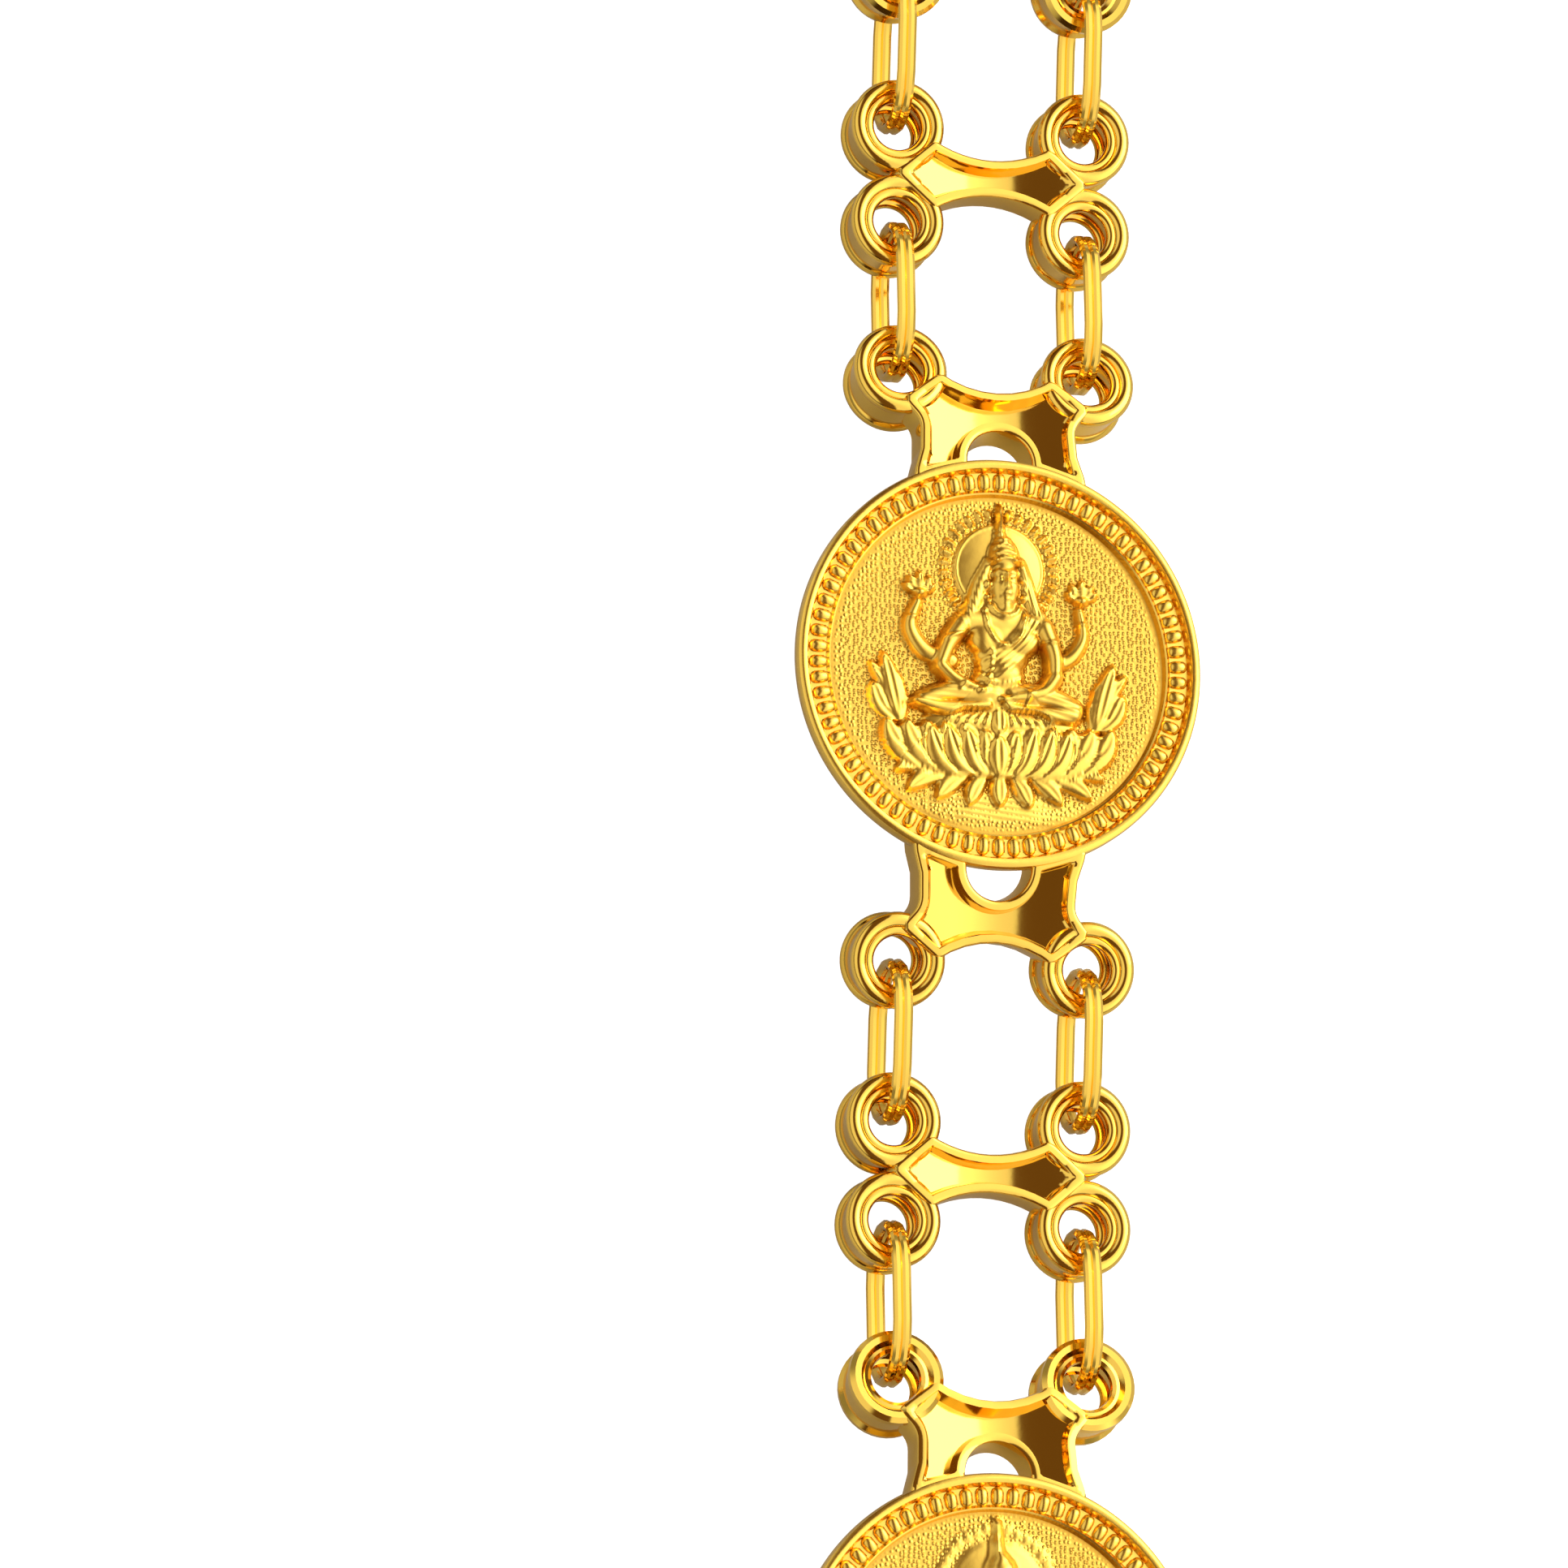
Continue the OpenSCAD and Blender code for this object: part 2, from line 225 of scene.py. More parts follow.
def rounded(points, reach, steps=5):
    """The closed outline with each sharp corner replaced by a bend that begins reach before it."""
    out = []
    for a, p, b in zip(points[-1:] + points[:-1], points, points[1:] + points[:1]):
        a, p, b = Vector(a), Vector(p), Vector(b)
        if (p - a).angle(b - p) < NEARLY_STRAIGHT:
            out.append(tuple(p))
            continue
        start = p.lerp(a, min(reach / (a - p).length, HALF_EDGE))
        end = p.lerp(b, min(reach / (b - p).length, HALF_EDGE))
        for t in (k / steps for k in range(steps + 1)):
            out.append(tuple(start.lerp(p, t).lerp(p.lerp(end, t), t)))
    return out


def edge_distance(points, outline):
    """Distance of each point from the nearest edge of a closed outline."""
    best = np.full(len(points), 1e9)
    for a, b in zip(outline, outline[1:] + outline[:1]):
        a, d = np.array(a), np.array(b) - np.array(a)
        t = np.clip(((points - a) @ d) / (d @ d), 0, 1)
        best = np.minimum(best, np.linalg.norm(points - a - t[:, None] * d, axis=1))
    return best


def evenly(outline, step):
    """The outline with every edge split into pieces no longer than step, and doubled points left out."""
    outline = [p for p, q in zip(outline, outline[1:] + outline[:1]) if math.dist(p, q) > 1e-4]
    out = []
    for a, b in zip(outline, outline[1:] + outline[:1]):
        n = max(1, math.ceil(math.dist(a, b) / step))
        out += [(a[0] + (b[0] - a[0]) * k / n, a[1] + (b[1] - a[1]) * k / n) for k in range(n)]
    return out


def inner_loop(loop, d):
    """Points at distance d inside a closed outline that runs anticlockwise."""
    here = np.array(loop)
    run = np.roll(here, -1, 0) - np.roll(here, 1, 0)
    run /= np.linalg.norm(run, axis=1)[:, None]
    moved = here + d * np.stack([-run[:, 1], run[:, 0]], 1)
    return moved[edge_distance(moved, loop) > 0.98 * d]


def pressed_plate(outline, detail, top, back):
    """Plate of the given outline. top(points, distance to the edge) gives the height of its face."""
    step = detail["plate"]
    loop = evenly(outline, step)
    lo, hi = np.min(loop, axis=0), np.max(loop, axis=0)
    row = step * math.sqrt(3) / 2
    grid = np.array([(lo[0] + (i + 0.5 * (j % 2)) * step, lo[1] + j * row)
                     for j in range(1, int((hi[1] - lo[1]) / row) + 1)
                     for i in range(int((hi[0] - lo[0]) / step) + 1)])
    points = [np.array(loop), *(inner_loop(loop, d) for d in detail["loops"])]
    points.append(grid[edge_distance(grid, loop) > detail["loops"][-1] + 0.5 * step])
    flat, _, faces, *_ = delaunay_2d_cdt([Vector(p) for p in np.concatenate(points)], [],
                                         [list(range(len(loop)))], 2, 1e-5)
    flat = np.array([(p.x, p.y) for p in flat])
    height = top(flat, edge_distance(flat, loop))
    bm = bmesh.new()
    verts = [bm.verts.new((x * MM, y * MM, z * MM)) for (x, y), z in zip(flat, height)]
    for face in faces:
        bm.faces.new([verts[k] for k in face])
    bmesh.ops.delete(bm, geom=[v for v in bm.verts if not v.link_faces], context="VERTS")
    made = bmesh.ops.extrude_edge_only(bm, edges=[e for e in bm.edges if e.is_boundary])["geom"]
    for v in (g for g in made if isinstance(g, bmesh.types.BMVert)):
        v.co.z = back * MM
    bmesh.ops.contextual_create(bm, geom=[e for e in bm.edges if e.is_boundary])
    bmesh.ops.recalc_face_normals(bm, faces=bm.faces)
    return bm


def smooth_step(t):
    t = np.clip(t, 0, 1)
    return t * t * (3 - 2 * t)


def pocket(points, d):
    """Face height of a plate: a rounded edge, a flat bright border and a hollow curved like a trough."""
    edge = EDGE_ROUND * (1 - np.sqrt(np.clip(1 - np.clip(1 - d / EDGE_ROUND, 0, 1) ** 2, 0, 1)))
    hollow = POCKET_STEP + TROUGH * np.clip(1 - (points[:, 0] / TROUGH_HALF_W) ** 2, 0, 1)
    return PLATE_FRONT - edge - smooth_step((d - BORDER_W) / WALL_W) * hollow


def dipped_top(ear_x, ear_y, dip_y, count):
    """Concave arc between two ear tops, from right to left."""
    rise = ear_y - dip_y
    radius = (ear_x ** 2 + rise ** 2) / (2 * rise)
    half_turn = math.degrees(math.asin(ear_x / radius))
    return arc((0, dip_y + radius), radius, 270 + half_turn, 270 - half_turn, count)


def bracket_outline():
    """Up the right side past its waist, over both ears, down the left side and round the window's arch."""
    right = [(2.8, 5.53), (2.74, 5.95), (2.55, 6.6), (2.5, 7.6), (3.08, 8.28)]
    left = [(-x, y) for x, y in reversed(right)]
    top = dipped_top(1.82, 9.26, 8.66, 9)
    foot_y = math.sqrt(FOOT_R ** 2 - FOOT_X ** 2)
    turn = math.degrees(math.atan2(foot_y - WINDOW_Y, FOOT_X))
    arch = arc((0, WINDOW_Y), WINDOW_R, 180 - turn, turn, 24)
    return rounded([*right, *top, *left, *arch], BEND_REACH)


def bracket(detail):
    """One bracket with its plate and two eyes, above the medallion."""
    bm = bmesh.new()
    join(bm, pressed_plate(bracket_outline(), detail, pocket, PLATE_FRONT - PLATE_T))
    for side in (-1, 1):
        join(bm, ring_eye(detail), Matrix.Translation((side * ROW_X * MM, EYE_REACH * MM, 0)))
    hinge = Matrix.Translation((0, HINGE_Y * MM, -BRACKET_BACK * MM))
    bm.transform(hinge @ Matrix.Rotation(-BRACKET_SLOPE, 4, "X") @ Matrix.Translation((0, -HINGE_Y * MM, 0)))
    return bm


# Medallion bodies. Each is a cast gold disc with a flat back, a smooth bright rim, a border of short
# rounded bars and a low ridge round its sunken field. The disc is turned, and the bars stand in a circle.
BACK_R = 6.0
SIDE_H = 0.55
RIM_Z = COIN_T / 2
FIELD_Z = RIM_Z - 0.5
GROOVE_Z = FIELD_Z + 0.17
BORDER_R = 5.8
BAR_COUNT = 74
BAR_R = 0.215
BAR_STRETCH = 0.1
BAR_RISE = 1.15
BAR_SINK = 0.02
FIELD_R = 5.33
RIDGE_R = 5.53
CAST_CLOUD = (2600, 0.006)

coin_gold = gold("cast_gold", 0.25, *CAST_CLOUD)


def coin_body(detail, band_in):
    """Corners (radius, height) from the back's middle up the side, over the rim and in to the field."""
    shell = [(0, -RIM_Z), (BACK_R - 0.12, -RIM_Z), (BACK_R - 0.02, -RIM_Z + 0.04),
             (BACK_R + 0.03, -RIM_Z + 0.14), (COIN_R - 0.03, RIM_Z - SIDE_H - 0.05),
             (COIN_R, RIM_Z - SIDE_H + 0.04), (COIN_R, RIM_Z - 0.2),
             (COIN_R - 0.04, RIM_Z - 0.07), (COIN_R - 0.12, RIM_Z - 0.01), (COIN_R - 0.2, RIM_Z),
             (band_in + 0.05, RIM_Z - 0.03), (band_in, RIM_Z - 0.12), (band_in - 0.06, GROOVE_Z),
             (RIDGE_R + 0.02, GROOVE_Z), (RIDGE_R - 0.02, FIELD_Z + 0.2),
             (RIDGE_R - 0.07, FIELD_Z + 0.26), (RIDGE_R - 0.12, FIELD_Z + 0.23),
             (FIELD_R + 0.02, FIELD_Z), (FIELD_R - 0.1, FIELD_Z - 0.1), (0, FIELD_Z - 0.1)]
    return turned(shell, detail["rim"])


def border_bars(detail):
    bm = bmesh.new()
    for k in range(BAR_COUNT):
        one = bmesh.new()
        bmesh.ops.create_icosphere(one, subdivisions=detail["bar"], radius=BAR_R * MM)
        for v in one.verts:
            v.co.x += math.copysign(BAR_STRETCH * MM, v.co.x) if abs(v.co.x) > 1e-6 else 0
            v.co.z *= BAR_RISE
        turn = Matrix.Rotation(math.tau * (k + 0.5) / BAR_COUNT, 4, "Z")
        join(bm, one, turn @ Matrix.Translation((BORDER_R * MM, 0, (GROOVE_Z - BAR_SINK) * MM)))
    return bm


# Raised figures. The relief is one cast surface with the field: a fine grid over the field is raised by the
# heights of limbs, petals and ornaments, which are listed from the back to the front. Lengths are in mm.
SOFT = 0.05
RELIEF_TOP = 0.71
FIGURE_FROM = 0.06
FIELD_TONE = 0.2
SMOOTH_RING_W = 0.5
SMOOTH_RING_TONE = 0.5
# How far round a point the surface is averaged to find recesses, and the depth at which their colour, partly
# patina and partly painted shade, is deepest.
RECESS_REACH = 0.16
RECESS_DEPTH = 0.12
PLUG_DEPTH = 0.2
PLUG_OVERLAP = 0.03


def dome(d, power):
    """Height of a rounded form from 1 over its middle, at d = 0, to 0 at its edge, at d = 1."""
    return np.clip(1 - d * d, 0, 1) ** power


def over(h, part, soft=0.0):
    """The higher of the two at each point, with a fillet of the given height where they meet."""
    if not soft:
        return np.maximum(h, part)
    near = np.clip(soft - np.abs(h - part), 0, soft) / soft
    return np.where(part > 0, np.maximum(h, part) + near * near * soft / 4, h)


def path(x, y, points):
    """Distance from a polyline and how far along it the nearest point lies, from 0 to 1."""
    lengths = [math.dist(a, b) for a, b in zip(points, points[1:])]
    total, done = sum(lengths), 0.0
    best, along = np.full_like(x, 1e9), np.zeros_like(x)
    for (x1, y1), (x2, y2), length in zip(points, points[1:], lengths):
        dx, dy = x2 - x1, y2 - y1
        t = np.clip(((x - x1) * dx + (y - y1) * dy) / (length * length), 0, 1)
        d = np.hypot(x - x1 - t * dx, y - y1 - t * dy)
        closer = d < best
        best = np.where(closer, d, best)
        along = np.where(closer, (done + t * length) / total, along)
        done += length
    return best, along


def bent(points, steps=10):
    """Smooth curve through three or more points."""
    p = [points[0], *points, points[-1]]
    out = []
    for a, b, c, d in zip(p, p[1:], p[2:], p[3:]):
        for k in range(steps):
            t = k / steps
            out.append(tuple(0.5 * (2 * b[i] + (c[i] - a[i]) * t
                                    + (2 * a[i] - 5 * b[i] + 4 * c[i] - d[i]) * t * t
                                    + (3 * b[i] - a[i] - 3 * c[i] + d[i]) * t ** 3) for i in (0, 1)))
    return out + [points[-1]]


def limb(x, y, points, radii, top, power=0.45):
    """Rounded rod along a bent line, with its radii from one end to the other."""
    d, u = path(x, y, bent(points) if len(points) > 2 else points)
    r = np.interp(u, np.linspace(0, 1, len(radii)), radii)
    return top * dome(d / r, power)


def oval(x, y, cx, cy, rx, ry, top, power=0.45):
    return top * dome(np.hypot((x - cx) / rx, (y - cy) / ry), power)


def leaf(h, x, y, points, width, top, edge=0.5, vein=0.0):
    """Pointed petal along a bent spine from its root to its tip. It covers what lies behind it."""
    d, u = path(x, y, bent(points) if len(points) > 2 else points)
    w = width * np.maximum(np.sin(math.pi * np.clip(u, 0, 1) ** 1.1), 0.02) ** 0.6
    s = d / w
    ridge = 1 - vein * np.exp(-(d / 0.035) ** 2)
    full = top * (edge + (1 - edge) * dome(s, 0.5)) * (0.7 + 0.3 * u) * ridge
    return np.where(s < 1, full, h)


def folds(x, y, angle, pitch, depth):
    """Ripples of cloth, hair or water. The angle is that of the direction across them."""
    a = math.radians(angle)
    return depth * np.cos(math.tau * (x * math.cos(a) + y * math.sin(a)) / pitch)


def halo(h, x, y):
    """Domed disc behind the head, with a raised edge and short rays round it."""
    cx, cy, disc_r = 0.03, 3.03, 1.4
    r = np.hypot(x - cx, y - cy)
    h = over(h, (0.09 + 0.15 * dome(r / disc_r, 1)) * np.clip((disc_r - r) / 0.05, 0, 1))
    h = over(h, 0.14 * np.exp(-((r - disc_r) / 0.05) ** 2))
    rays = 34
    for k in range(rays):
        a = math.tau * (k + 0.5) / rays
        c, s = math.cos(a), math.sin(a)
        ray = [(cx + reach * c, cy + reach * s) for reach in (1.63, 1.87)]
        h = over(h, limb(x, y, ray, (0.075, 0.09), 0.15))
    return h


def lotus_seat(h, x, y):
    # Rippled water under the flower, fading out at its edges
    strength = (np.clip(1.6 - np.abs(x - 0.1) / 1.6, 0, 1) * np.clip((y + 5.1) / 0.25, 0, 1)
                * np.clip(-(y + 4.05) / 0.2, 0, 1))
    h = over(h, strength * (0.06 + folds(x + 0.12 * np.sin(4 * y), y, 84, 0.19, 0.035)))
    # Drooping leaves under the seat. The outer pairs point sideways
    for points, width in (([(1.7, -3.35), (2.6, -3.22), (3.35, -3.5)], 0.27),
                          ([(1.5, -3.5), (2.35, -3.65), (2.95, -4.1)], 0.3),
                          ([(0.95, -3.5), (1.55, -3.8), (2.0, -4.33)], 0.3),
                          ([(0.4, -3.5), (0.75, -3.9), (1.0, -4.48)], 0.28)):
        for side in (-1, 1):
            h = leaf(h, x, y, [(0.05 + side * px, py) for px, py in points], width, 0.27, vein=0.18)
    h = leaf(h, x, y, [(0.05, -3.4), (0.05, -4.5)], 0.28, 0.3, vein=0.18)
    # Cup that the petals lie against, narrow at its foot and open at the top
    half_w = np.interp(y, (-3.6, -3.35, -3.0, -2.6, -2.2, -1.9), (1.05, 1.8, 2.55, 3.05, 3.35, 3.45))
    cup = smooth_step((half_w - np.abs(x - 0.08)) / 0.22) * smooth_step((y + 3.68) / 0.18)
    h = over(h, 0.36 * cup * smooth_step((-1.98 - y) / 0.22))
    # Seat inside the cup
    h = over(h, oval(x, y, 0.05, -1.85, 2.5, 0.5, 0.33))
    # Upright petals: the outer ones lie behind and curve out, the middle ones stand in front
    for k in (5, 4, 3, 2, 1):
        for side in (-1, 1):
            root = (0.05 + side * (0.3 * k - 0.05), -3.5)
            bend = (0.05 + side * (0.63 * k + 0.05), -3.1 + 0.08 * k)
            tip = (0.02 + side * (0.62 * k + 0.55), -2.05 + 0.04 * k)
            h = leaf(h, x, y, [root, bend, tip], 0.46, 0.42 - 0.02 * k, vein=0.15)
    for k in (3.5, 2.5, 1.5, 0.5):
        for side in (-1, 1):
            root = (0.05 + side * 0.3 * k, -3.55)
            bend = (0.05 + side * 0.52 * k, -3.05)
            tip = (0.03 + side * (0.58 * k + 0.22), -2.15 + 0.02 * k)
            h = leaf(h, x, y, [root, bend, tip], 0.4, 0.46 - 0.02 * k, vein=0.15)
    return leaf(h, x, y, [(0.02, -3.58), (-0.05, -2.3)], 0.4, 0.5, vein=0.15)


def side_plants(h, x, y):
    """Tuft of leaves at each end of the seat, drawn from the outer leaf to the front one."""
    for side in (-1, 1):
        for points, width, top in (
                ([(3.25, -1.95), (3.75, -1.45), (4.05, -0.75)], 0.3, 0.24),
                ([(3.05, -2.0), (3.1, -1.5), (3.0, -1.0)], 0.22, 0.22),
                ([(3.2, -1.95), (3.55, -0.9), (3.95, -0.35), (4.15, -0.1)], 0.24, 0.27),
                ([(3.15, -1.95), (3.2, -0.9), (3.3, -0.35)], 0.22, 0.26),
                ([(3.15, -1.95), (3.45, -0.7), (3.72, 0.2)], 0.3, 0.32)):
            h = leaf(h, x, y, [(side * px, py) for px, py in points], width, top, vein=0.25)
    return h


def back_arms(h, x, y):
    """The two raised arms, with an open lotus in each hand."""
    for points, radii, top in (
            ([(-1.5, 0.05), (-2.35, 0.3), (-2.85, 1.05), (-2.62, 1.85)], (0.26, 0.3, 0.27, 0.17), 0.32),
            ([(1.75, 0.05), (2.35, 0.35), (2.72, 1.0), (2.6, 1.85)], (0.24, 0.24, 0.2, 0.15), 0.31)):
        h = over(h, limb(x, y, points, radii, top), 0.03)
    for cx, cy in ((-2.55, 2.2), (2.68, 2.22)):
        for a in (-80, 80, -45, 45, 0):
            c, s = math.cos(math.radians(a)), math.sin(math.radians(a))
            tip = (cx + 0.52 * s, cy + 0.12 + 0.5 * c)
            h = leaf(h, x, y, [(cx, cy - 0.05), tip], 0.15, 0.36 - 0.0006 * abs(a), vein=0.15)
        h = over(h, oval(x, y, cx, cy - 0.05, 0.24, 0.17, 0.38))
    return h


def goddess_figure(h, x, y):
    # Hair that falls behind the shoulders
    for points in ([(-0.34, 3.25), (-0.62, 2.5), (-0.85, 1.75), (-1.15, 1.35)],
                   [(0.68, 3.25), (0.88, 2.5), (1.1, 1.85), (1.45, 1.45)]):
        strand = limb(x, y, points, (0.2, 0.3, 0.3, 0.2), 0.36)
        h = over(h, strand + np.where(strand > 0.1, folds(x, y, 15, 0.14, 0.025), 0))
    # Trunk: chest, waist and hips
    middle = [(0.12, 1.15), (0.1, 0.5), (0.05, -0.2), (0.0, -0.9)]
    h = over(h, limb(x, y, middle, (1.12, 0.95, 0.72, 1.0), 0.42, 0.4), SOFT)
    h = over(h, limb(x, y, [(-0.95, 1.32), (1.25, 1.32)], (0.4, 0.42), 0.44), SOFT)
    h = over(h, limb(x, y, [(0.18, 2.2), (0.17, 1.5)], (0.3, 0.4), 0.46), 0.08)
    h = over(h, oval(x, y, 0.2, -0.28, 0.62, 0.55, 0.54), 0.08)
    for cx, rx in ((-0.45, 0.56), (0.76, 0.58)):
        h = over(h, oval(x, y, cx, 0.76, rx, 0.5, 0.53, 0.4), 0.16)
    # Draped cloth from the shoulder across the chest to the hip, in long folds
    d, along = path(x, y, bent([(1.2, 1.5), (0.75, 0.75), (0.0, 0.05), (-0.75, -0.5)]))
    pleat = 0.055 * smooth_step((0.46 - d) / 0.08) * smooth_step(along / 0.05)
    h = h + np.where(h > 0.1, pleat * (0.8 + 0.35 * np.cos(math.tau * d / 0.17)), 0)
    # Crossed legs with round knees
    for points, radii, top in (
            ([(-0.2, -1.0), (-1.5, -0.95), (-2.45, -1.25)], (0.42, 0.38, 0.3), 0.5),
            ([(0.4, -1.0), (1.5, -0.98), (2.35, -1.35)], (0.42, 0.42, 0.42), 0.5),
            ([(-2.72, -1.32), (-1.6, -1.5), (-0.4, -1.32)], (0.16, 0.3, 0.22), 0.54),
            ([(2.35, -1.45), (1.3, -1.55), (0.2, -1.35)], (0.38, 0.3, 0.2), 0.54)):
        leg = limb(x, y, points, radii, top)
        h = over(h, leg + np.where(leg > 0.2, folds(x, y + 0.1 * np.abs(x), 82, 0.2, 0.014), 0), 0.03)
    # Cloth folds that fan out under the legs
    for k in (5, 4, 3, 2, 1):
        for side in (-1, 1):
            root, tip = (side * (0.16 * k + 0.1), -1.5), (side * (0.3 * k + 0.18), -1.98 + 0.02 * k)
            h = leaf(h, x, y, [root, tip], 0.11, 0.46 - 0.02 * k)
    h = leaf(h, x, y, [(0.02, -1.3), (0.0, -2.25)], 0.3, 0.5, vein=0.2)
    # Front arms: upper arms with round shoulders, forearms and hands on the lap
    for points, radii, top in (
            ([(-1.2, 1.22), (-1.62, 0.6), (-1.9, -0.1)], (0.36, 0.32, 0.27), 0.5),
            ([(-1.9, -0.15), (-1.45, -0.55), (-0.75, -0.85)], (0.27, 0.25, 0.2), 0.55),
            ([(1.45, 1.22), (1.75, 0.4), (1.78, -0.3)], (0.36, 0.31, 0.29), 0.54),
            ([(1.78, -0.35), (1.35, -0.85), (0.3, -1.12)], (0.3, 0.27, 0.18), 0.6)):
        h = over(h, limb(x, y, points, radii, top), 0.03)
    for cx, cy, rx, ry in ((-0.62, -0.9, 0.27, 0.17), (0.12, -1.15, 0.3, 0.15)):
        h = over(h, oval(x, y, cx, cy, rx, ry, 0.64))
    # Armlets and bracelets
    for p, q in (((-1.78, 0.72), (-1.2, 0.9)), ((1.4, 0.72), (2.0, 0.78)), ((-1.28, -0.9), (-1.0, -0.48)),
                 ((0.86, -1.22), (0.98, -0.86)), ((-3.1, 1.35), (-2.6, 1.35)), ((2.5, 1.4), (2.86, 1.44))):
        ring = limb(x, y, [p, q], (0.06, 0.06), 0.07)
        h = h + np.where(h > 0.1, ring, 0)
    # Necklaces, the chest chain and the belt: rows of small beads
    for cx, cy, rx, ry, start, end, count in ((0.17, 1.92, 0.46, 0.42, 190, 350, 13),
                                              (0.15, 1.85, 0.66, 1.3, 188, 352, 23),
                                              (0.08, -0.05, 0.85, 0.6, 200, 340, 15)):
        for k in range(count):
            a = math.radians(start + (end - start) * k / (count - 1))
            bead = oval(x, y, cx + rx * math.cos(a), cy + ry * math.sin(a), 0.08, 0.08, 0.09)
            h = h + np.where(h > 0.1, bead, 0)
    for k in range(7):
        h = h + np.where(h > 0.1, oval(x, y, -0.28 - 0.02 * k, 0.35 - 0.19 * k, 0.09, 0.07, 0.08), 0)
    return h


def goddess_head(h, x, y):
    # Spire and cap of the crown
    h = over(h, limb(x, y, [(0.03, 4.0), (0.03, 5.05)], (0.17, 0.07), 0.36), 0.02)
    for cy, rx in ((4.12, 0.22), (4.3, 0.18), (4.47, 0.15), (4.63, 0.12)):
        h = over(h, oval(x, y, 0.03, cy, rx, 0.075, 0.42))
    h = over(h, oval(x, y, 0.13, 3.42, 0.52, 0.62, 0.55, 0.4), 0.03)
    h = over(h, oval(x, y, 0.1, 3.93, 0.3, 0.13, 0.52, 0.4), 0.02)
    # Face, with the crown's bands above it and an ear ornament on each side
    h = over(h, oval(x, y, 0.18, 2.54, 0.53, 0.86, 0.57, 0.4), 0.04)
    for points, r, top in (([(-0.3, 3.2), (0.17, 3.34), (0.64, 3.2)], 0.085, 0.66),
                           ([(-0.25, 3.44), (0.15, 3.57), (0.55, 3.44)], 0.06, 0.64),
                           ([(-0.2, 3.7), (0.12, 3.82), (0.44, 3.7)], 0.05, 0.61)):
        h = over(h, limb(x, y, points, (r, r), top))
    for cx in (-0.4, 0.76):
        h = over(h, oval(x, y, cx, 2.5, 0.14, 0.24, 0.46))
        h = over(h, oval(x, y, cx, 2.1, 0.13, 0.14, 0.44))
    # Brows, eyes, nose, lips and chin
    for points, r, add in (
            ([(-0.2, 2.86), (-0.04, 2.94), (0.1, 2.87)], 0.055, 0.06),
            ([(0.26, 2.87), (0.4, 2.94), (0.56, 2.86)], 0.055, 0.06),
            ([(-0.2, 2.69), (0.06, 2.69)], 0.11, -0.12), ([(0.3, 2.69), (0.56, 2.69)], 0.11, -0.12),
            ([(-0.13, 2.69), (0.0, 2.69)], 0.08, 0.13), ([(0.36, 2.69), (0.49, 2.69)], 0.08, 0.13),
            ([(0.18, 2.86), (0.18, 2.44)], 0.075, 0.12), ([(0.11, 2.38), (0.25, 2.38)], 0.075, 0.08),
            ([(0.07, 2.19), (0.29, 2.19)], 0.055, 0.09), ([(0.1, 2.05), (0.26, 2.05)], 0.055, 0.08),
            ([(0.03, 2.12), (0.33, 2.12)], 0.035, -0.1), ([(0.13, 1.83), (0.23, 1.83)], 0.12, 0.05)):
        h = h + limb(x, y, points, (r, r), add)
    return h


def goddess_relief(x, y):
    h = np.zeros_like(x)
    for part in (halo, lotus_seat, side_plants, back_arms, goddess_figure, goddess_head):
        h = part(h, x, y)
    return h


